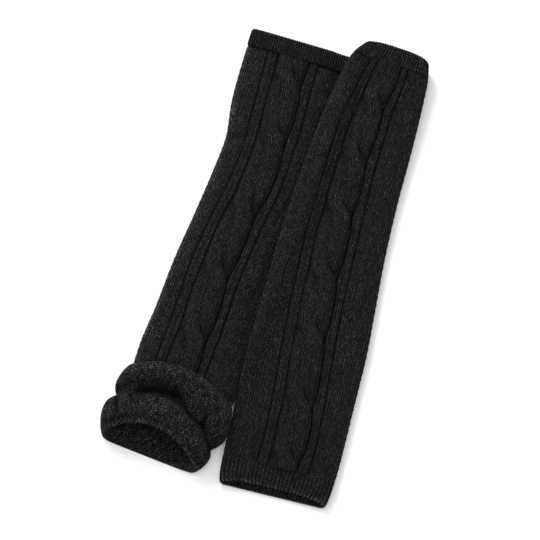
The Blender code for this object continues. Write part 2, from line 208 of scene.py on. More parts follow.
# One row for each section across a sock: along and cable_x place the cable's centre, slant turns the section,
# left and right are its reach from the cable, height is the flattened tube's, roundness is 7 for a flat tube
# and near 2 for a round one, raised is how far the whole section stands off the surface, and climb how far
# its left margin does.
Section = namedtuple("Section", "along cable_x slant left right height roundness raised climb")

RIGHT_SOCK = [
    Section(-0.012, 0.0040, 0.0, 0.0550, 0.0490, 0.0090, 6.0, 0.0, 0.0),
    Section(0.000, 0.0040, 0.0, 0.0580, 0.0520, 0.0092, 6.0, 0.0, 0.0),
    Section(0.022, 0.0045, 0.0, 0.0605, 0.0535, 0.0094, 6.0, 0.0, 0.0),
    Section(0.060, 0.0055, 0.0, 0.0624, 0.0530, 0.0096, 6.0, 0.0, 0.0),
    Section(0.075, 0.0045, 0.0, 0.0620, 0.0538, 0.0097, 6.0, 0.0, 0.0),
    Section(0.100, 0.0030, 0.0, 0.0614, 0.0550, 0.0098, 6.0, 0.0, 0.0050),
    Section(0.125, 0.0010, 0.0, 0.0600, 0.0568, 0.0100, 6.0, 0.0, 0.0074),
    Section(0.150, -0.0010, 0.0, 0.0580, 0.0585, 0.0100, 6.0, 0.0, 0.0077),
    Section(0.200, -0.0040, 0.0, 0.0540, 0.0585, 0.0100, 6.0, 0.0, 0.0079),
    Section(0.260, -0.0060, 0.0, 0.0510, 0.0565, 0.0104, 5.5, 0.0, 0.0079),
    Section(0.320, -0.0060, 0.0, 0.0475, 0.0550, 0.0115, 5.0, 0.0, 0.0079),
    Section(0.370, -0.0045, -1.0, 0.0445, 0.0540, 0.0138, 4.2, 0.0, 0.0079),
    Section(0.400, -0.0020, -2.0, 0.0430, 0.0515, 0.0163, 3.6, 0.0, 0.0081),
    Section(0.430, 0.0025, -4.0, 0.0420, 0.0465, 0.0195, 3.1, 0.0, 0.0090),
    Section(0.457, 0.0070, -4.5, 0.0388, 0.0405, 0.0220, 2.8, 0.0, 0.0104),
    Section(0.472, 0.0085, -5.5, 0.0300, 0.0360, 0.0225, 2.6, 0.0, 0.0104),
]
RIGHT_HEM_END = -0.0054
RIGHT_HEM_SEAM = 0.0220
RIGHT_TOP_SEAM = 0.4565
RIGHT_TOP_END = 0.4700
RIGHT_CROSSINGS = [0.0320, 0.0930, 0.1650, 0.2290, 0.2960, 0.3540, 0.4130]

LEFT_SOCK = [
    Section(0.055, -0.1205, -8.5, 0.0440, 0.0520, 0.0090, 6.0, 0.0036, 0.0),
    Section(0.080, -0.1200, -8.5, 0.0460, 0.0604, 0.0092, 6.0, 0.0036, 0.0),
    Section(0.092, -0.1191, -8.3, 0.0465, 0.0626, 0.0094, 6.0, 0.0033, 0.0),
    Section(0.105, -0.1180, -8.0, 0.0470, 0.0604, 0.0096, 6.0, 0.0026, 0.0),
    Section(0.150, -0.1140, -7.0, 0.0455, 0.0615, 0.0100, 6.0, 0.0, 0.0),
    Section(0.200, -0.1108, -8.0, 0.0437, 0.0628, 0.0100, 6.0, 0.0, 0.0),
    Section(0.260, -0.1024, -9.0, 0.0431, 0.0604, 0.0100, 6.0, 0.0, 0.0),
    Section(0.300, -0.0945, -8.0, 0.0455, 0.0580, 0.0100, 6.0, 0.0, 0.0),
    Section(0.345, -0.0905, -5.0, 0.0455, 0.0570, 0.0100, 6.0, 0.0, 0.0),
    Section(0.375, -0.0900, -4.0, 0.0492, 0.0585, 0.0100, 6.0, 0.0, 0.0),
    Section(0.440, -0.0900, -3.0, 0.0490, 0.0600, 0.0100, 6.0, 0.0, 0.0),
    Section(0.462, -0.0900, -3.0, 0.0482, 0.0590, 0.0100, 6.0, 0.0, 0.0),
]
LEFT_LOWER_END = 0.0600
LEFT_TOP_SEAM = 0.4430
LEFT_TOP_END = 0.4600
LEFT_CROSSINGS = [0.1350, 0.2055, 0.2750, 0.3600, 0.4180]

# The two cabled legs. relief_from is where the cable and ribs begin, full_width the section's width below which
# they are drawn in with the cloth, seams the depth of the groove at each end and of the painted shadow in it,
# edge_light the painted light on the left margin, and flat the cut's width all round and length.
Leg = namedtuple(
    "Leg", "name node sock start end crossings climbs relief_from full_width seams edge_light flat")

LEGS = [
    Leg("left_sock_leg", "left_leg", LEFT_SOCK, LEFT_LOWER_END, LEFT_TOP_SEAM, LEFT_CROSSINGS,
        False, CUFF_EDGE, 0.105, (0.0, 1.6), 0.5, (0.222, 0.383)),
    Leg("right_sock_leg", "right_leg", RIGHT_SOCK, RIGHT_HEM_SEAM, RIGHT_TOP_SEAM, RIGHT_CROSSINGS,
        True, -1.0, 0.107, (0.1, 0.4), 0.1, (0.222, 0.434)),
]

# The three ribbed bands. proud is a band's rise over its leg, dip how far the middle of its front rim stands
# back from the sides, crest the ribs' height, plain how much of the left margin has none, tuck how deep the seam
# is and how much painted shade it holds, grows the share of the band over which the ribs begin, and rim_light the
# painted highlight on its front rim.
Band = namedtuple(
    "Band", "name node sock seam end ribs proud dip wall climbs crest plain tuck grows rim_light flat")

BANDS = [
    Band("left_sock_top_band", "left_top_band", LEFT_SOCK, LEFT_TOP_SEAM, LEFT_TOP_END,
         46, 0.0016, 0.0, 0.0036, False, 0.0007, 0.0, 1.0, 0.0, 0.3, (0.222, 0.018)),
    Band("right_sock_top_band", "right_top_band", RIGHT_SOCK, RIGHT_TOP_SEAM, RIGHT_TOP_END,
         30, 0.0008, -0.0040, 0.0032, True, 0.0005, 0.020, 0.25, 0.25, 0.3, (0.200, 0.016)),
    Band("right_sock_hem_band", "right_hem_band", RIGHT_SOCK, RIGHT_HEM_SEAM, RIGHT_HEM_END,
         30, 0.0002, 0.0070, 0.0030, True, 0.0003, 0.0, 0.05, 0.35, 1.0, (0.228, 0.027)),
]

# One row for each ring of the turned-up cuff, from inside the mouth round the lower ring, through the valley
# and over the upper roll. top, left, right and under are places along Y, left_x and right_x the sides, top_z
# and under_z the heights, and pucker the share of the gathers' depth.
CuffRing = namedtuple("CuffRing", "top left right under left_x right_x top_z under_z pucker roundness")

CUFF = [
    CuffRing(0.0470, 0.0520, 0.0370, 0.0450, -0.1640, -0.0760, 0.0122, 0.0052, 0.0, 3.4),
    CuffRing(0.0335, 0.0255, 0.0125, 0.0150, -0.1700, -0.0860, 0.0195, 0.0036, 0.0, 2.6),
    CuffRing(0.0292, 0.0175, 0.0040, 0.0055, -0.1722, -0.0830, 0.0228, 0.0022, 0.0, 2.5),
    CuffRing(0.0285, 0.0150, 0.0015, 0.0035, -0.1768, -0.0785, 0.0262, 0.0000, 0.0, 2.4),
    CuffRing(0.0365, 0.0220, 0.0055, 0.0120, -0.1812, -0.0722, 0.0285, 0.0000, 0.2, 2.4),
    CuffRing(0.0480, 0.0350, 0.0120, 0.0220, -0.1832, -0.0686, 0.0284, 0.0000, 0.7, 2.4),
    CuffRing(0.0560, 0.0450, 0.0170, 0.0300, -0.1815, -0.0674, 0.0258, 0.0000, 1.0, 2.5),
    CuffRing(0.0592, 0.0505, 0.0205, 0.0340, -0.1780, -0.0680, 0.0218, 0.0000, 0.6, 2.6),
    CuffRing(0.0625, 0.0532, 0.0232, 0.0370, -0.1745, -0.0690, 0.0184, 0.0000, 0.0, 2.8),
    CuffRing(0.0680, 0.0560, 0.0262, 0.0400, -0.1738, -0.0670, 0.0180, 0.0000, 0.0, 2.8),
    CuffRing(0.0725, 0.0590, 0.0300, 0.0430, -0.1752, -0.0630, 0.0204, 0.0000, 0.0, 2.7),
    CuffRing(0.0765, 0.0635, 0.0370, 0.0480, -0.1768, -0.0582, 0.0252, 0.0000, 0.0, 2.5),
    CuffRing(0.0835, 0.0710, 0.0480, 0.0540, -0.1762, -0.0565, 0.0278, 0.0000, 0.0, 2.4),
    CuffRing(0.0905, 0.0790, 0.0595, 0.0610, -0.1735, -0.0568, 0.0262, 0.0000, 0.0, 2.4),
    CuffRing(0.0955, 0.0855, 0.0685, 0.0680, -0.1705, -0.0586, 0.0215, 0.0000, 0.0, 2.6),
    CuffRing(0.0958, 0.0880, 0.0725, 0.0715, -0.1688, -0.0606, 0.0174, 0.0008, 0.0, 3.4),
    CuffRing(0.0920, 0.0870, 0.0720, 0.0715, -0.1680, -0.0612, 0.0152, 0.0022, 0.0, 4.8),
]

# Troughs and ridges, listed one by one: each runs through points in the laid frame, in millimetres. A depth less
# than nothing is a ridge.
Fold = namedtuple("Fold", "points width depth")

LEFT_FOLDS = [
    Fold([(-141, 338), (-128, 346), (-114, 351)], 4.0, 2.2),
    Fold([(-56, 300), (-66, 262), (-74, 230)], 2.2, 0.9),
]
RIGHT_FOLDS = [
    Fold([(-46, 250), (-44, 320), (-40, 390)], 4.0, 0.8),
]
CUFF_FOLDS = [
    Fold([(-152, 60), (-144, 65), (-134, 67), (-123, 68), (-113, 65)], 4.6, 4.4),
    Fold([(-113, 65), (-104, 57), (-97, 50), (-88, 45), (-82, 43)], 2.8, 3.2),
    Fold([(-141, 61), (-132, 61), (-123, 62)], 1.2, 1.6),
    Fold([(-81, 53), (-82, 43), (-77, 35), (-72, 25), (-67, 15)], 1.8, 3.2),
    Fold([(-176, 52), (-166, 55), (-152, 60)], 3.0, 0.8),
    Fold([(-172, 48), (-169, 41), (-167, 34)], 1.7, 2.8),
    Fold([(-158, 54), (-154, 47)], 1.7, 2.8),
    Fold([(-146, 57), (-143, 50)], 1.3, 1.6),
    Fold([(-133, 58), (-130, 52)], 1.3, 1.3),
    Fold([(-119, 56), (-112, 48)], 3.0, 1.3),
    Fold([(-72, 62), (-66, 52), (-65, 44)], 1.8, 1.2),
    Fold([(-66, 24), (-60, 31), (-56, 38)], 5.0, 1.6),
]


def smooth_step(value):
    """0 below 0, 1 above 1, with soft ends between."""
    clamped = np.clip(value, 0.0, 1.0)
    return clamped * clamped * (3.0 - 2.0 * clamped)


def hill(value, width):
    """1 at nothing, falling off on both sides."""
    return np.exp(-((value / width) ** 2))


def waver(x, y, seed):
    """A slow unevenness from -1 to 1 over the surface, with waves of 20 to 60 mm."""
    first = np.sin(97.0 * x + 151.0 * y + seed) * np.cos(171.0 * x - 83.0 * y + 2.1 * seed)
    second = np.sin(263.0 * x - 129.0 * y + 3.7 * seed) * np.cos(67.0 * x + 241.0 * y + 0.7 * seed)
    return 0.6 * first + 0.4 * second


def fold_depth(x, y, folds):
    """How far the folds take the surface down at places in the laid frame."""
    total = np.zeros_like(x)
    for fold in folds:
        nearest = np.full_like(x, 1.0)
        line = np.array(fold.points) / 1000.0
        for start, end in zip(line[:-1], line[1:]):
            run = end - start
            share = np.clip(((x - start[0]) * run[0] + (y - start[1]) * run[1]) / (run @ run), 0.0, 1.0)
            nearest = np.minimum(nearest, np.hypot(x - start[0] - share * run[0], y - start[1] - share * run[1]))
        total += fold.depth / 1000.0 * hill(nearest, fold.width / 1000.0)
    return total


def table_at(table, places, wanted):
    """The table's rows at wanted places, on a smooth curve through them."""
    rows = np.array(table)
    slopes = np.gradient(rows, places, axis=0)
    index = np.clip(np.searchsorted(places, wanted) - 1, 0, len(table) - 2)
    span = (places[index + 1] - places[index])[:, None]
    part = np.clip((wanted[:, None] - places[index][:, None]) / span, 0.0, 1.0)
    values = (2 * part**3 - 3 * part**2 + 1) * rows[index] + (3 * part**2 - 2 * part**3) * rows[index + 1]
    values += span * ((part**3 - 2 * part**2 + part) * slopes[index] + (part**3 - part**2) * slopes[index + 1])
    return values


def sections(table, wanted):
    """The sections at wanted places along a sock."""
    places = np.array([row.along for row in table])
    values = table_at(table, places, np.atleast_1d(wanted))
    values[:, -2:] = np.maximum(values[:, -2:], 0.0)
    return [Section(*row) for row in values]


def outline(section):
    """Points round one section's outer face, from the cable's centre by the right, and the length to each."""
    middle = (section.right - section.left) / 2
    half = (section.right + section.left) / 2
    side = SIDE_SHARE * section.height
    rounded = np.cos(np.linspace(0.0, math.pi / 2, EDGE_SAMPLES)) ** (2.0 / section.roundness)
    reach = np.concatenate([rounded, -rounded, np.linspace(-1.0, 1.0, TOP_SAMPLES), [-middle / half]])
    reach = np.unique(np.round(reach, 9))
    power = section.roundness
    top_x = middle + half * reach
    top_z = side + (section.height - side) * (1.0 - np.abs(reach) ** power) ** (1.0 / power)
    corner = np.linspace(0.0, math.pi / 2, CORNER_SAMPLES)[1:]
    under_x = half - side * (1.0 - np.cos(corner))
    under_z = side * (1.0 - np.sin(corner))
    centre = int(np.argmin(np.abs(top_x)))
    x = np.concatenate([top_x[centre:], middle + under_x, middle - under_x[::-1], top_x[:centre + 1]])
    z = np.concatenate([top_z[centre:], under_z, under_z[::-1], top_z[:centre + 1]])
    lengths = np.concatenate([[0.0], np.cumsum(np.hypot(np.diff(x), np.diff(z)))])
    return x, z, lengths


def edges_of(section):
    """The whole length round a section, and the lengths from the cable's centre to its right and left edges."""
    x, _, lengths = outline(section)
    return lengths[-1], lengths[int(np.argmax(x))], lengths[int(np.argmin(x))] - lengths[-1]


def pressed(section, across):
    """Share of its height that a section of the left sock keeps, less at the margin that is lain upon."""
    depth = (across - (section.right - PRESSED_WIDTH)) / (0.6 * PRESSED_WIDTH)
    lain_upon = (section.along - PRESSED_FROM) / PRESSED_FADE
    return 1.0 - PRESSED_SHARE * smooth_step(depth) * float(smooth_step(lain_upon))


def right_edges(table):
    """Places of a sock's right edge, as the rising Y and the X at each."""
    rows = sections(table, np.arange(table[0].along, table[-1].along, TABLE_STEP))
    angles = [math.radians(row.slant) for row in rows]
    y = [row.along + row.right * math.sin(angle) for row, angle in zip(rows, angles)]
    x = [row.cable_x + row.right * math.cos(angle) for row, angle in zip(rows, angles)]
    return np.array(y), np.array(x)


LEFT_EDGE_Y, LEFT_EDGE_X = right_edges(LEFT_SOCK)


def place(section, across, height, shift, climbs):
    """Points of a section in the laid frame."""
    angle = math.radians(section.slant)
    x = section.cable_x + across * math.cos(angle) - shift * math.sin(angle)
    y = section.along + across * math.sin(angle) + shift * math.cos(angle)
    if climbs:
        edge = np.interp(y, LEFT_EDGE_Y, LEFT_EDGE_X)
        z = height + section.raised + section.climb * smooth_step((edge + CLIMB_START - x) / CLIMB_WIDTH)
    else:
        z = section.raised + height * pressed(section, across)
    return np.stack([x, y, z], axis=-1)


def outer_ring(section, lengths, relief, shift, climbs):
    """Points round a section's outer face, each moved out by its relief and along by its shift."""
    x, z, measured = outline(section)
    total = measured[-1]
    spot = np.mod(lengths, total)
    ahead = np.minimum(spot + TANGENT_STEP, total)
    behind = np.maximum(spot - TANGENT_STEP, 0.0)
    run_x = np.interp(ahead, measured, x) - np.interp(behind, measured, x)
    run_z = np.interp(ahead, measured, z) - np.interp(behind, measured, z)
    size = np.hypot(run_x, run_z)
    across = np.interp(spot, measured, x) - relief * run_z / size
    height = np.interp(spot, measured, z) + relief * run_x / size
    return place(section, across, height, shift, climbs)


def inner_ring(section, lengths, shift, climbs, wall):
    """Points round a section's plain inner face, opposite the outer points."""
    x, z, measured = outline(section)
    middle = (section.right - section.left) / 2
    half = (section.right + section.left) / 2
    spot = np.mod(lengths, measured[-1])
    across = middle + (np.interp(spot, measured, x) - middle) * (half - SIDE_WALL * wall) / half
    height = wall + (section.height - 2 * wall) * np.interp(spot, measured, z) / section.height
    return place(section, across, height, shift, climbs)


def lit(section, climbs):
    """A factor on the painted light and shade at a section. The right sock is a little darker toward its hem."""
    if not climbs:
        return 1.0
    return UPPER_LIGHT - HEM_SHADE * float(smooth_step((HEM_SHADE_END - section.along) / HEM_SHADE_FADE))


def strand_centre(phase):
    """Where a strand's middle lies across the cable. It crosses over from left to right, going down."""
    turn = OVER_TURN if math.cos(math.pi * phase) > 0.0 else UNDER_TURN
    return -STRAND_SWING * math.tanh(turn * math.sin(math.pi * phase)) / math.tanh(turn)


def strand_height(across, phase):
    """Height of one strand of the rope cable."""
    over = math.cos(math.pi * phase) ** 3
    half = STRAND_HALF + STRAND_SPREAD * max(over, 0.0)
    bulge = np.maximum(0.0, 1.0 - np.abs((across - strand_centre(phase)) / half) ** 2.5)
    return (STRAND_HEIGHT + CROSSING_HEIGHT * over) * np.sqrt(bulge)


def cable_phase(along, crossings):
    """How many crossings lie below a place along the cable."""
    spacing = (crossings[-1] - crossings[0]) / (len(crossings) - 1)
    places = [crossings[0] - spacing] + crossings + [crossings[-1] + spacing]
    return float(np.interp(along, places, range(len(places))))


def cable_edge(across, phase):
    """How far the cable reaches on the side of each place. It bulges between the notches by its crossings."""
    right = abs(math.sin(math.pi * (phase + NOTCH_PHASE))) ** 0.8
    left = abs(math.sin(math.pi * (phase - NOTCH_PHASE))) ** 0.8
    return CABLE_HALF + CABLE_BULGE * np.where(across > 0.0, right, LEFT_BULGE_SHARE * left)


def front_relief(across, phase):
    """Height of the knitted front over plain knitting, and its painted light: painted highlight on crests,
    painted shade in grooves, creases and notches.
    """
    edge = cable_edge(across, phase)
    distance = np.abs(across)
    across = across * CABLE_HALF / edge
    first = strand_height(across, phase)
    second = strand_height(across, phase + 1.0)
    tall = (first**4 + second**4) ** 0.25
    above = phase - round(phase)
    if above > 0.0:
        crossing = smooth_step((CREASE_ABOVE - above) / CREASE_FADE)
    else:
        crossing = CREASE_BELOW_SHARE * smooth_step((CREASE_BELOW + above) / CREASE_FADE)
    on_right = max(crossing, 1.0 if abs(above) < 0.1 else 0.0)
    crossing = np.where(across > 0.5 * STRAND_HALF, on_right, crossing)
    meeting = crossing * hill(first - second, CREASE_WIDTH) * smooth_step((first + second) / 0.002)
    groove_place = edge + GROOVE_IN - CABLE_HALF
    inner_groove = hill(distance - groove_place, GROOVE_WIDTH) * np.where(across > 0.0, 1.0, LEFT_GROOVE_SHARE)
    outer_groove = hill(distance - GROOVE_OUT, GROOVE_WIDTH)
    notch = hill(above + NOTCH_PHASE, NOTCH_LENGTH) * hill(distance - groove_place, NOTCH_WIDTH) * (across > 0.0)
    middle = hill(distance - RIB_MIDDLE, RIB_DIP_WIDTH)
    rib = RIB_HEIGHT * smooth_step((distance - groove_place - RIB_START) / RIB_SHOULDERS[0])
    rib = rib * smooth_step((RIB_END - distance) / RIB_SHOULDERS[1])
    rib = rib - RIB_DIP * middle - GROOVE_IN_DEPTH * inner_groove - GROOVE_OUT_DEPTH * outer_groove
    cable = tall - CREASE_DEPTH * meeting - GROOVE_IN_DEPTH * inner_groove
    # Painted highlight on the strands' crests and the ribs, painted shade in creases, rib dips, grooves and
    # notches
    cable_light = CABLE_LIGHT + STRAND_LIGHT * tall / STRAND_HEIGHT - CREASE_SHADE * meeting
    rib_light = 1.0 + RIB_LIGHT * np.maximum(rib, 0.0) - RIB_DIP_SHADE * middle
    rib_light = rib_light - GROOVE_IN_SHADE * inner_groove - GROOVE_OUT_SHADE * outer_groove
    in_cable = distance < edge
    light = np.where(in_cable, cable_light, rib_light) - NOTCH_SHADE * notch
    return np.where(in_cable, cable, rib), light


def srgb(code):
    """A hex colour as linear values."""
    values = [int(code[i:i + 2], 16) / 255 for i in (1, 3, 5)]
    return [v / 12.92 if v <= 0.04045 else ((v + 0.055) / 1.055) ** 2.4 for v in values] + [1.0]


def knit_piece(name, points, knit, finish, light, pick=None):
    """A wall through rings of points that run right round it, the last column on the first.

    knit holds one or two sets of wales and courses for the points. light is the painted light and shade at each,
    which scales the wool's colour, and pick says which faces take the second set.
    """
    rows, columns = points.shape[0] - 1, points.shape[1] - 1
    shape = bmesh.new()
    bmesh.ops.create_grid(shape, x_segments=columns, y_segments=rows, size=1.0)
    mesh = bpy.data.meshes.new(name)
    shape.to_mesh(mesh)
    shape.free()
    flat = np.zeros(len(mesh.vertices) * 3)
    mesh.vertices.foreach_get("co", flat)
    flat = flat.reshape(-1, 3)
    column = np.rint((flat[:, 0] + 1.0) / 2.0 * columns).astype(int)
    row = np.rint((flat[:, 1] + 1.0) / 2.0 * rows).astype(int)
    laid = points[row, column] - np.array([PAIR_CENTRE_X, PAIR_CENTRE_Y, 0.0])
    mesh.vertices.foreach_set("co", laid.ravel())
    corners = np.zeros(len(mesh.loops), int)
    mesh.loops.foreach_get("vertex_index", corners)
    corner_row, corner_column = row[corners], column[corners]
    coordinates = knit[0][corner_row, corner_column]
    if pick is not None:
        low_row = corner_row.reshape(-1, 4).min(axis=1)
        low_column = corner_column.reshape(-1, 4).min(axis=1)
        second = np.repeat(pick[low_row, low_column], 4)
        coordinates = np.where(second[:, None], knit[1][corner_row, corner_column], coordinates)
    # The painted light and shade goes into a point attribute that scales the wool's colour
    shade = mesh.attributes.new("Light", "FLOAT", "POINT")
    shade.data.foreach_set("value", light[row, column])
    layer = mesh.uv_layers.new(name="Knit")
    layer.data.foreach_set("uv", coordinates.ravel())
    mesh.materials.append(finish)
    shape = bmesh.new()
    shape.from_mesh(mesh)
    bmesh.ops.remove_doubles(shape, verts=shape.verts, dist=MERGE_DISTANCE)
    bmesh.ops.recalc_face_normals(shape, faces=shape.faces)
    shape.to_mesh(mesh)
    shape.free()
    mesh.shade_smooth()
    piece = bpy.data.objects.new(name, mesh)
    bpy.context.scene.collection.objects.link(piece)
    return piece


def joined_rings(outer, inner, outward_start, outward_end):
    """The rings of a wall: outer face, a soft rim, inner face back again, and the first ring once more."""
    end_rim = (outer[-1] + inner[-1]) / 2 + outward_end
    start_rim = (outer[0] + inner[0]) / 2 + outward_start
    return np.concatenate([outer, end_rim[None], inner[::-1], start_rim[None], outer[:1]])


def leg_lengths(section, drawn_in):
    """Lengths at which a leg's columns run, from its left edge over the front to the right edge and under."""
    total, right_edge, left_edge = edges_of(section)
    front = drawn_in * np.concatenate([
        np.linspace(-PLAIN_START, -CABLE_HALF, 22)[:-1],
        np.linspace(-CABLE_HALF, CABLE_HALF, 43)[:-1],
        np.linspace(CABLE_HALF, PLAIN_START, 22)[:-1],
    ])
    left = np.linspace(left_edge, -PLAIN_START * drawn_in, 27)[:-1]
    right = np.linspace(PLAIN_START * drawn_in, right_edge, 27)[:-1]
    under = np.linspace(right_edge, left_edge + total, 31)
    return np.concatenate([left, front, right, under])


def leg_painted_light(row, section, lengths, knit_light, seam):
    """The painted light and shade round one section of a leg: painted light and sheen on the margins, painted
    shade in the seams and beside the other sock.
    """
    total, right_edge, left_edge = edges_of(section)
    on_front = (lengths > left_edge) & (lengths < right_edge)
    fade = float(smooth_step((section.along - row.relief_from) / RELIEF_FADE))
    from_left = np.minimum(lengths - left_edge, left_edge + total - lengths)
    # Painted light on the left margin with a narrower painted sheen at the very edge, and on the right sock a
    # painted highlight along its right edge
    edge = row.edge_light * (hill(from_left, EDGE_LIGHT_WIDTH) + EDGE_GLOW * hill(from_left, EDGE_GLOW_WIDTH))
    if row.climbs:
        edge += RIGHT_EDGE_LIGHT * hill(lengths - right_edge, RIGHT_EDGE_WIDTH)
    else:
        # Painted shade on the left sock's right margin, where the right sock lies beside it
        beside = smooth_step((BESIDE_END - section.along) / BESIDE_FADE)
        edge -= BESIDE_SHADE * beside * hill(lengths - right_edge, BESIDE_WIDTH) * (lengths < right_edge)
    # Painted shadow at the seams, under the bands
    light = 1.0 + edge + fade * np.where(on_front, knit_light - 1.0, 0.0) - SEAM_SHADE * seam
    return light * lit(section, row.climbs)


def leg_ring(row, section, lengths, relief, seam, folds, number):
    """Points round one section of a leg's outer face, with its creases and its ragged edges."""
    total, right_edge, left_edge = edges_of(section)
    on_front = (lengths > left_edge) & (lengths < right_edge)
    fade = float(smooth_step((section.along - row.relief_from) / RELIEF_FADE))
    margin = smooth_step((lengths - left_edge) / EDGE_MARGIN) * smooth_step((right_edge - lengths) / EDGE_MARGIN)
    relief = fade * np.where(on_front, relief, 0.0) * margin - SEAM_DEPTH * seam
    ring = outer_ring(section, lengths, relief, 0.0, row.climbs)
    ring[:, 2] += on_front * margin * LEG_WAVER * waver(ring[:, 0], ring[:, 1], 1.0 + row.climbs)
    ragged = RAGGED_EDGE * (math.sin(2.41 * number) + math.sin(5.17 * number + 1.0))
    from_left = np.minimum(lengths - left_edge, left_edge + total - lengths)
    ring[:, 0] += ragged * (hill(right_edge - lengths, RAGGED_WIDTH) - hill(from_left, RAGGED_WIDTH))
    roll = hill(lengths - left_edge, EDGE_ROLL_WIDTH) + hill(right_edge - lengths, EDGE_ROLL_WIDTH)
    ring[:, 2] -= EDGE_ROLL * on_front * margin * roll
    ring[:, 2] -= on_front * margin * fold_depth(ring[:, 0], ring[:, 1], folds)
    return ring


def leg_knit(section, lengths, drawn_in, phase, around):
    """Wales and courses round one section of a leg, for each of the cable's two strands."""
    total, right_edge, left_edge = edges_of(section)
    share = (lengths - right_edge) / (left_edge + total - right_edge)
    closing = right_edge / WALE + share * (left_edge / WALE + around - right_edge / WALE)
    wales = np.where(lengths > right_edge, closing, lengths / WALE)
    courses = np.full_like(wales, section.along / COURSE)
    in_cable = np.abs(lengths) < CABLE_HALF * drawn_in
    strands = [(lengths - drawn_in * strand_centre(phase + k)) / WALE for k in (0.0, 1.0)]
    return [np.stack([np.where(in_cable, strand, wales), courses], axis=-1) for strand in strands]


def leg(row, finish):
    """The cabled length of a sock, between its bands."""
    start = row.start - SEAM_LAP if row.climbs else row.start
    end = row.end + SEAM_LAP
    places = np.linspace(start, end, round((end - start) / LEG_ROW) + 1)
    rows = sections(row.sock, places)
    folds = RIGHT_FOLDS if row.climbs else LEFT_FOLDS
    around = round(np.mean([edges_of(section)[0] for section in rows]) / WALE)
    draws = [min(1.0, (section.left + section.right) / row.full_width) for section in rows]
    outer, first, second, uppers, lights = [], [], [], [], []
    for section, drawn_in in zip(rows, draws):
        _, right_edge, left_edge = edges_of(section)
        lengths = leg_lengths(section, drawn_in)
        phase = cable_phase(section.along, row.crossings)
        on_front = (lengths > left_edge) & (lengths < right_edge)
        # The seams' groove, and its painted shadow, grow toward the right of the top seam
        to_right = 0.6 + 0.8 * on_front * smooth_step(0.5 + 8.0 * lengths)
        seam = row.seams[0] * hill(section.along - row.start, SEAM_WIDTHS[0])
        seam = seam + row.seams[1] * hill(section.along - row.end, SEAM_WIDTHS[1]) * to_right
        relief, knit_light = front_relief(lengths / drawn_in, phase)
        lights.append(leg_painted_light(row, section, lengths, knit_light, seam))
        outer.append(leg_ring(row, section, lengths, relief, seam, folds, len(outer)))
        knit = leg_knit(section, lengths, drawn_in, phase, around)
        first.append(knit[0])
        second.append(knit[1])
        middles = (lengths[1:] + lengths[:-1]) / 2 / drawn_in
        upper = strand_height(middles, phase + 1.0) > strand_height(middles, phase)
        uppers.append(upper & (np.abs(middles) < CABLE_HALF))
    step = max(1, len(rows) // INNER_RINGS)
    inner_rows = sorted(set(range(0, len(rows), step)) | {len(rows) - 1})
    inner = []
    for index in inner_rows:
        lengths = leg_lengths(rows[index], draws[index])
        inner.append(inner_ring(rows[index], lengths, 0.0, row.climbs, WALL))
    bulge = np.array([0.0, 0.3 * RIM_BULGE * WALL, 0.0])
    points = joined_rings(np.array(outer), np.array(inner), -bulge, bulge)
    first, second = np.array(first), np.array(second)
    inner_knit = first[inner_rows][::-1]
    first = np.concatenate([first, first[-1:], inner_knit, first[:1], first[:1]])
    second = np.concatenate([second, second[-1:], inner_knit, second[:1], second[:1]])
    pick = np.zeros((points.shape[0] - 1, points.shape[1] - 1), bool)
    pick[:len(uppers)] = np.array(uppers)
    light = np.ones(points.shape[:2])
    light[:len(lights)] = np.array(lights)
    # Painted shade on the inner face
    light[len(lights):-1] = INSIDE_LIGHT
    return knit_piece(row.name, points, [first, second], finish, light, pick)


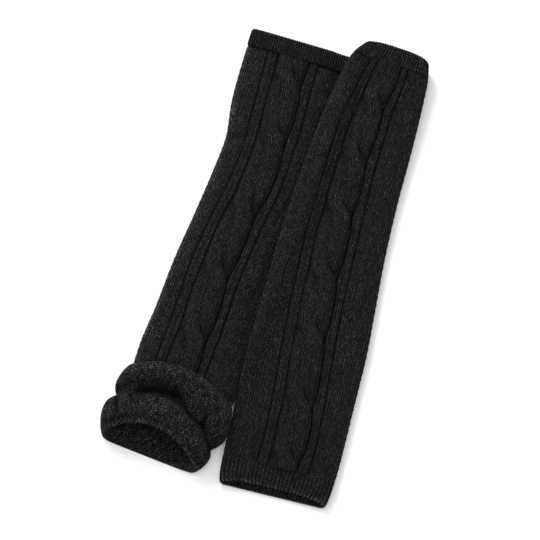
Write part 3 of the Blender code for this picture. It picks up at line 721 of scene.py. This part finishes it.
def band_ring(row, share, rise, inner):
    """Points, stitches and painted light and shade round a ribbed band, at a share of its length from its seam.
    """
    outward = math.copysign(1.0, row.end - row.seam)
    section = sections(row.sock, row.seam + share * (row.end - row.seam))[0]
    section = section._replace(height=section.height + row.proud)
    total, right_edge, left_edge = edges_of(section)
    front = np.linspace(left_edge, right_edge, RIB_COLUMNS * row.ribs + 1)
    under = np.linspace(right_edge, left_edge + total, UNDER_COLUMNS * row.ribs + 1)[1:]
    lengths = np.concatenate([front, under])
    on_front = lengths <= right_edge
    turn = np.where(on_front, (lengths - left_edge) / (right_edge - left_edge) * row.ribs, 0.0)
    uneven = RIB_UNEVENNESS * np.sin(0.9 * turn + 3.0 * row.seam) * np.sin(0.37 * turn)
    crest = np.cos(2.0 * math.pi * (turn + RIB_WANDER * uneven) - math.pi)
    reach = (2 * lengths - left_edge - right_edge) / (right_edge - left_edge)
    dip = row.dip * share * np.maximum(0.0, 1.0 - reach**4)
    shift = -outward * (dip - BAND_SCALLOP * crest * share**8)
    under_turn = row.ribs + (lengths - right_edge) / (left_edge + total - right_edge) * row.ribs
    wales = np.where(on_front, turn, under_turn)
    knit = np.stack([wales, np.full_like(wales, share * (row.end - row.seam) / COURSE)], axis=-1)
    if inner:
        points = inner_ring(section, lengths, shift, row.climbs, row.wall)
        # Painted shade on the inner face, less toward the open end
        return points, knit, np.full_like(wales, INSIDE_LIGHT + 0.35 * share)
    margin = smooth_step((lengths - left_edge - row.plain) / BAND_MARGIN)
    margin = margin * smooth_step((right_edge - lengths) / BAND_MARGIN)
    begins = row.grows * (RIB_BEGINS + RIB_BEGINS_SPREAD * np.sin(2.3 * np.floor(turn)))
    grown = smooth_step((share - begins + RIB_BEGINS_SOFT) / (RIB_BEGINS_SOFT + row.grows))
    grown = grown * margin * (1.0 - 0.8 * share**10)
    relief = row.crest * (1.0 + uneven) * crest * grown * rise - BAND_TUCK * (1.0 - rise)
    # Painted highlight on the rib crests, painted shade in the tucked seam, and a painted highlight along the
    # front rim
    light = BAND_LIGHT + BAND_CREST_LIGHT * row.crest * crest * grown
    light = light - BAND_TUCK_SHADE * (1.0 - rise) * (share < 0.5)
    light = light + row.rim_light * hill(1.0 - share, BAND_RIM_WIDTH)
    return outer_ring(section, lengths, relief, shift, row.climbs), knit, light * lit(section, row.climbs)


def band(row, finish):
    """A ribbed band at a sock's open end."""
    outward = math.copysign(1.0, row.end - row.seam)
    shares = np.concatenate([[0.0, 0.02, 0.05], np.linspace(0.1, 0.9, 13), [0.95, 0.98, 1.0]])
    rises = np.interp(shares, [0.0, 0.06, 0.92, 1.0], [1.0 - 0.75 * row.tuck, 1.0, 1.0, 0.70])
    outer = [band_ring(row, share, rise, False) for share, rise in zip(shares, rises)]
    inner = [band_ring(row, share, 1.0, True) for share in (0.0, 0.25, 0.5, 0.75, 1.0)]
    bulge = np.array([0.0, outward * RIM_BULGE * row.wall, 0.0])
    outer_points, outer_knit, outer_light = (np.array(part) for part in zip(*outer))
    inner_points, inner_knit, inner_light = (np.array(part) for part in zip(*inner))
    rings = joined_rings(outer_points, inner_points, -bulge * 0.2, bulge)
    knit = joined_rings(outer_knit, inner_knit, 0.0, 0.0)
    # The soft rim between the faces gets a painted highlight
    light = joined_rings(outer_light, inner_light, 0.0, BAND_EDGE_LIGHT)
    return knit_piece(row.name, rings, [knit], finish, light)


def cuff_turns(top_roundness, count):
    """The way round a cuff's ring: whether each point is on the top, its rise and its reach to the side."""
    turn = 2.0 * math.pi * np.arange(count + 1) / count
    upper = np.sin(turn) >= -1e-9
    power = 2.0 / np.where(upper, top_roundness, CUFF_UNDERSIDE_ROUNDNESS)
    rise = np.abs(np.sin(turn)) ** power
    reach = np.copysign(np.abs(np.cos(turn)) ** power, np.cos(turn))
    return upper, rise, reach


def collar_ring(along, out, count):
    """Points round the left leg, its outer face moved out, or in where out is less than nothing."""
    section = sections(LEFT_SOCK, along)[0]
    middle = (section.right - section.left) / 2
    half = (section.right + section.left) / 2 + (out if out > 0.0 else SIDE_WALL * out)
    side = SIDE_SHARE * section.height
    upper, rise, reach = cuff_turns(section.roundness, count)
    height = np.where(upper, side + (section.height - side + out) * rise, side - (side + out) * rise)
    return place(section, middle + half * reach, height, 0.0, False)


def cuff_ring(row, count):
    """Points round one ring of the turned-up cuff."""
    upper, rise, reach = cuff_turns(row.roundness, count)
    middle = (row.left_x + row.right_x) / 2
    half = (row.right_x - row.left_x) / 2
    side_z = row.under_z + CUFF_SIDE_SHARE * (row.top_z - row.under_z)
    x = middle + half * reach
    y = row.left + (row.right - row.left) * (reach + 1.0) / 2
    ends = (row.left + row.right) / 2
    y = y + np.where(upper, (row.top - ends) * (1.0 - reach**2), (row.under - ends) * rise)
    fold = np.sin(PUCKER_COUNT * math.pi * (reach + 1.0) + 1.3 * np.sin(5.0 * reach))
    pucker = max(row.pucker, 0.0) * PUCKER_DEPTH * fold * rise
    z = side_z + np.where(upper, (row.top_z - side_z) * rise + pucker, (row.under_z - side_z) * rise)
    return np.stack([x, y, z], axis=-1)


def turned_up_cuff(name, finish):
    """The lower end of the left sock, turned up over its leg in a lower ring and an upper roll."""
    count = CUFF_COLUMNS
    mouth_end = LEFT_LOWER_END - CUFF_CLEARANCE
    rings = [collar_ring(mouth_end, -WALL, count)]
    fine = np.linspace(0.0, len(CUFF) - 1.0, CUFF_STEPS * (len(CUFF) - 1) + 1)
    values = table_at(CUFF, np.arange(len(CUFF), dtype=float), fine)
    # Painted shade on the collar's inner face
    lights = [np.full(count + 1, CUFF_INSIDE_LIGHT)]
    for turn_in, row in zip(fine, [CuffRing(*value) for value in values]):
        ring = cuff_ring(row._replace(under_z=max(row.under_z, 0.0)), count)
        upper = cuff_turns(row.roundness, count)[0]
        depth = fold_depth(ring[:, 0], ring[:, 1], CUFF_FOLDS) * (turn_in > FOLDS_FROM_RING)
        lip = LIP_HEIGHT * hill(turn_in - LIP_RING, LIP_WIDTH) - LIP_DIP * hill(turn_in - LIP_DIP_RING, LIP_WIDTH)
        ring[:, 2] += upper * (lip - depth + CUFF_WAVER * waver(1.6 * ring[:, 0], 1.6 * ring[:, 1], 5.0))
        rings.append(ring)
        # Painted shade inside the mouth and in the folds, and a painted highlight on the lip
        mouth = np.where(upper, MOUTH_TOP_LIGHT, MOUTH_FLOOR_LIGHT)
        light = mouth + (1.0 - mouth) * smooth_step((turn_in - MOUTH_RING) / MOUTH_FADE)
        lights.append(light * (1.0 - upper * np.clip(FOLD_SHADE * depth, -0.25, 0.95)) + LIP_LIGHT * lip * upper)
    rings.append(collar_ring(CUFF_COLLAR, -COLLAR_TUCK, count))
    lights.append(lights[-1])
    rings = np.array(rings)
    rings[:, :, 2] = np.maximum(rings[:, :, 2], 0.0)
    along = np.linalg.norm(np.diff(rings, axis=0), axis=2)
    courses = np.concatenate([np.zeros((1, count + 1)), np.cumsum(along, axis=0)]) / REVERSE_STITCH
    around = np.linalg.norm(np.diff(rings, axis=1), axis=2)
    reached = np.concatenate([np.zeros((len(rings), 1)), np.cumsum(around, axis=1)], axis=1)
    wales = reached / reached[:, -1:] * round(CUFF_ROUND / REVERSE_STITCH)
    knit = np.stack([wales, courses], axis=-1)
    return knit_piece(name, rings, [knit], finish, np.array(lights))


def add(tree, kind, inputs, output=0, **settings):
    """Adds a node with its settings and links, and gives one of its outputs."""
    node = tree.nodes.new("ShaderNode" + kind)
    for key, value in settings.items():
        setattr(node, key, value)
    for key, value in inputs.items():
        if isinstance(value, bpy.types.NodeSocket):
            tree.links.new(value, node.inputs[key])
        else:
            node.inputs[key].default_value = value
    return node.outputs[output]


def new_material(name):
    """A material, its node tree and its shader's sockets."""
    material = bpy.data.materials.new(name)
    material.use_nodes = True
    tree = material.node_tree
    return material, tree, tree.nodes["Principled BSDF"].inputs


# How each kind of knitting looks. spread and least are how much its stitches differ in light and the least of it,
# arch how sharply a stitch rounds off, fuzz the fibre's share of the bump and bump its height.
Pattern = namedtuple("Pattern", "spread least arch fuzz bump")

PATTERNS = {
    "knit": Pattern(1.25, 0.36, 1.5, 0.8, 0.0011),
    "rib": Pattern(1.25, 0.34, 0.9, 0.8, 0.0011),
    "reverse": Pattern(2.5, 0.06, 1.0, 1.1, 0.0014),
}

# Unevenness in the wool, in waves a metre: stitches wander over 3.3 mm, fuzz and specks of fibre are near 1.1 mm
# across, which is coarser than real fibre so that it shows, and paler patches are 17 mm wide
WANDER_WAVES = 300.0
FUZZ_WAVES = 900.0
SPECK_WAVES = 950.0
PATCH_WAVES = 60.0
WANDER = 0.38
STREAK_COURSES = 9.0


def wool(name, pattern, tint):
    """Brushed charcoal wool, knitted. It is matt, with flecks of grey fibre and a faint sheen of loose ones.

    pattern is how the stitches lie. The piece's light attribute holds painted light and shade, which scales the
    colour.
    """
    look = PATTERNS[pattern]
    material, tree, shader = new_material(name)
    place = add(tree, "TexCoord", {}, "Object")
    split = add(tree, "SeparateXYZ", {0: add(tree, "UVMap", {}, uv_map="Knit")}).node.outputs
    wander = add(tree, "TexNoise", {"Vector": place, "Scale": WANDER_WAVES, "Detail": 2.0, "Roughness": 0.5})
    wander = add(tree, "Math", {0: wander, 1: 2.0 * WANDER, 2: -WANDER}, operation="MULTIPLY_ADD")
    wales = add(tree, "Math", {0: split[0], 1: wander}, operation="ADD")
    drift = add(tree, "Math", {0: wander, 1: 1.5}, operation="MULTIPLY")
    courses = add(tree, "Math", {0: split[1], 1: drift}, operation="ADD")

    # The height of a stitch: bumps in staggered rows on the reverse side, and slanted legs in a V on the other
    if pattern == "reverse":
        lift = add(tree, "Math", {0: wales, 1: 0.25}, operation="MULTIPLY")
        slope = add(tree, "Math", {0: courses, 1: lift}, operation="ADD")
        turn = add(tree, "Math", {0: slope, 1: 2.0 * math.pi}, operation="MULTIPLY")
        row = add(tree, "Math", {0: slope}, operation="FLOOR")
        stagger = add(tree, "Math", {0: row, 1: 0.5}, operation="MULTIPLY")
        lean = add(tree, "Math", {0: wales, 1: stagger}, operation="SUBTRACT")
        lean = add(tree, "Math", {0: lean, 1: 2.0 * math.pi}, operation="MULTIPLY")
        along = add(tree, "Math", {0: turn}, operation="COSINE")
        beside = add(tree, "Math", {0: lean}, operation="COSINE")
        height = add(tree, "Math", {0: along, 1: beside}, operation="ADD")
        height = add(tree, "Math", {0: height, 1: 0.32, 2: 0.45}, operation="MULTIPLY_ADD")
        height = add(tree, "Math", {0: height, 1: 0.0}, operation="MAXIMUM")
    else:
        side = add(tree, "Math", {0: wales}, operation="FRACT")
        side = add(tree, "Math", {0: side, 1: 0.5}, operation="SUBTRACT")
        side = add(tree, "Math", {0: side}, operation="ABSOLUTE")
        slope = add(tree, "Math", {0: side, 1: 1.5, 2: courses}, operation="MULTIPLY_ADD")
        turn = add(tree, "Math", {0: slope, 1: 2.0 * math.pi}, operation="MULTIPLY")
        strand = add(tree, "Math", {0: turn}, operation="COSINE")
        strand = add(tree, "Math", {0: strand, 1: 0.40, 2: 0.60}, operation="MULTIPLY_ADD")
        arch = add(tree, "Math", {0: side, 1: math.pi}, operation="MULTIPLY")
        arch = add(tree, "Math", {0: arch}, operation="COSINE")
        arch = add(tree, "Math", {0: arch, 1: 0.001}, operation="MAXIMUM")
        arch = add(tree, "Math", {0: arch, 1: look.arch}, operation="POWER")
        height = add(tree, "Math", {0: strand, 1: arch}, operation="MULTIPLY")
        if pattern == "rib":
            flank = add(tree, "Math", {0: side, 1: -0.5, 2: 0.9}, operation="MULTIPLY_ADD")
            height = add(tree, "Math", {0: height, 1: flank}, operation="MULTIPLY")

    # How light each stitch is: by chance, in streaks of a few courses on plain knitting, and in soft patches, and
    # then by the piece's painted light and shade
    half_wale = add(tree, "Math", {0: wales, 1: 2.0}, operation="MULTIPLY")
    half_wale = add(tree, "Math", {0: half_wale}, operation="FLOOR")
    stitch = add(tree, "CombineXYZ", {0: half_wale, 1: add(tree, "Math", {0: slope}, operation="FLOOR")})
    chance = add(tree, "TexWhiteNoise", {"Vector": stitch}, "Value", noise_dimensions="2D")
    chance = add(tree, "Math", {0: chance, 1: 1.3}, operation="POWER")
    factors = [add(tree, "Math", {0: chance, 1: look.spread, 2: look.least}, operation="MULTIPLY_ADD")]
    if pattern == "knit":
        spell = add(tree, "Math", {0: courses, 1: STREAK_COURSES}, operation="DIVIDE")
        spell = add(tree, "Math", {0: spell}, operation="FLOOR")
        column = add(tree, "CombineXYZ", {0: add(tree, "Math", {0: wales}, operation="FLOOR"), 1: spell})
        streak = add(tree, "TexWhiteNoise", {"Vector": column}, "Value", noise_dimensions="2D")
        factors.append(add(tree, "Math", {0: streak, 1: 0.4, 2: 0.8}, operation="MULTIPLY_ADD"))
    patch = add(tree, "TexNoise", {"Vector": place, "Scale": PATCH_WAVES, "Detail": 2.0, "Roughness": 0.5})
    factors.append(add(tree, "Math", {0: patch, 1: 0.3, 2: 0.85}, operation="MULTIPLY_ADD"))
    light = add(tree, "Attribute", {}, "Fac", attribute_name="Light")
    factors.append(add(tree, "Math", {0: light, 1: 0.1}, operation="MAXIMUM"))
    # Painted shade in the gaps between stitches: the colour follows the stitch's height
    shade = add(tree, "Math", {0: height, 1: 1.9, 2: 0.05}, operation="MULTIPLY_ADD")
    for factor in factors:
        shade = add(tree, "Math", {0: shade, 1: factor}, operation="MULTIPLY")
    # A painted highlight: where the painted light passes 1.4 it adds a flat brightness, so rims and margins read
    # as bright lines
    rim = add(tree, "Math", {0: light, 1: 1.4}, operation="SUBTRACT")
    rim = add(tree, "Math", {0: rim, 1: 0.0}, operation="MAXIMUM")
    rim = add(tree, "Math", {0: rim, 1: 0.5}, operation="MULTIPLY")
    shade = add(tree, "Math", {0: shade, 1: rim}, operation="ADD")
    shade = add(tree, "Math", {0: shade, 1: tint}, operation="MULTIPLY")

    speck = add(tree, "TexNoise", {"Vector": place, "Scale": SPECK_WAVES, "Detail": 3.0, "Roughness": 0.65})
    fibre = add(tree, "ValToRGB", {0: speck})
    stops = fibre.node.color_ramp.elements
    stops[0].position, stops[0].color = 0.36, srgb("#050505")
    stops[1].position, stops[1].color = 0.66, srgb("#3b3b3b")
    stops.new(0.50).color = srgb("#1a1a1a")
    colour = add(tree, "VectorMath", {0: fibre, "Scale": shade}, operation="SCALE")
    fuzz = add(tree, "TexNoise", {"Vector": place, "Scale": FUZZ_WAVES, "Detail": 4.0, "Roughness": 0.7})
    relief = add(tree, "Math", {0: fuzz, 1: look.fuzz, 2: height}, operation="MULTIPLY_ADD")
    bump = add(tree, "Bump", {"Strength": 1.0, "Distance": look.bump, "Height": relief})
    tree.links.new(colour, shader["Base Color"])
    tree.links.new(bump, shader["Normal"])
    shader["Roughness"].default_value = 0.95
    shader["Specular IOR Level"].default_value = 0.06
    shader["Sheen Weight"].default_value = 0.03
    shader["Sheen Roughness"].default_value = 0.6
    shader["Sheen Tint"].default_value = srgb("#b9b9bd")
    return material


def dressed(piece, node):
    """The piece stands for its node, on the root body."""
    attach(piece, "root")
    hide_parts(node)


def pair_of_socks():
    """Both socks, as they lie."""
    cable_knit = wool("charcoal wool, cable knit", "knit", 1.03)
    rib_knit = wool("charcoal wool, rib knit", "rib", 1.05)
    reverse_knit = wool("charcoal wool, reverse side", "reverse", 0.82)
    for row in LEGS:
        dressed(leg(row, cable_knit), row.node)
    for row in BANDS:
        dressed(band(row, rib_knit), row.node)
    cuff = turned_up_cuff("left_sock_turned_up_cuff", reverse_knit)
    dressed(cuff, "left_turned_cuff")


def floor():
    """The pale surface that the pair lies on."""
    shape = bmesh.new()
    bmesh.ops.create_grid(shape, x_segments=1, y_segments=1, size=FLOOR_HALF)
    mesh = bpy.data.meshes.new("floor")
    shape.to_mesh(mesh)
    shape.free()
    material, _, shader = new_material("white paper, matt")
    shader["Base Color"].default_value = srgb("#f0f0f0")
    shader["Roughness"].default_value = 0.9
    mesh.materials.append(material)
    sheet = bpy.data.objects.new("floor", mesh)
    sheet.location.z = -FLOOR_DROP
    bpy.context.scene.collection.objects.link(sheet)


def area_light(name, place, size, power):
    """A soft light that faces the pair."""
    light = bpy.data.lights.new(name, "AREA")
    light.shape = "DISK"
    light.size = size
    light.energy = power
    lamp = bpy.data.objects.new(name, light)
    lamp.location = place
    lamp.rotation_euler = (-Vector(place)).to_track_quat("-Z", "Y").to_euler()
    bpy.context.scene.collection.objects.link(lamp)


def studio():
    """Soft light from the upper left, and a nearly even surround."""
    world = bpy.data.worlds.new("studio")
    world.use_nodes = True
    background = world.node_tree.nodes["Background"]
    background.inputs["Color"].default_value = (1.0, 1.0, 1.0, 1.0)
    background.inputs["Strength"].default_value = SURROUND
    bpy.context.scene.world = world
    area_light("key light", KEY_PLACE, KEY_SIZE, KEY_POWER)
    bpy.context.scene.view_settings.view_transform = "Standard"


def camera():
    """The view of the photograph, nearly straight down."""
    turn, rise = math.radians(VIEW_TURN), math.radians(VIEW_RISE)
    view = Vector((-math.sin(turn) * math.cos(rise), math.cos(turn) * math.cos(rise), -math.sin(rise)))
    lens = bpy.data.cameras.new("camera")
    lens.lens = lens.sensor_width * VIEW_DISTANCE / FRAME_WIDTH
    lens.clip_start = 0.1
    lens.clip_end = 30.0
    eye = bpy.data.objects.new("camera", lens)
    eye.location = Vector(VIEW_TARGET) - view * VIEW_DISTANCE
    eye.rotation_euler = view.to_track_quat("-Z", "Y").to_euler()
    bpy.context.scene.collection.objects.link(eye)
    bpy.context.scene.camera = eye


floor()
pair_of_socks()
studio()
camera()
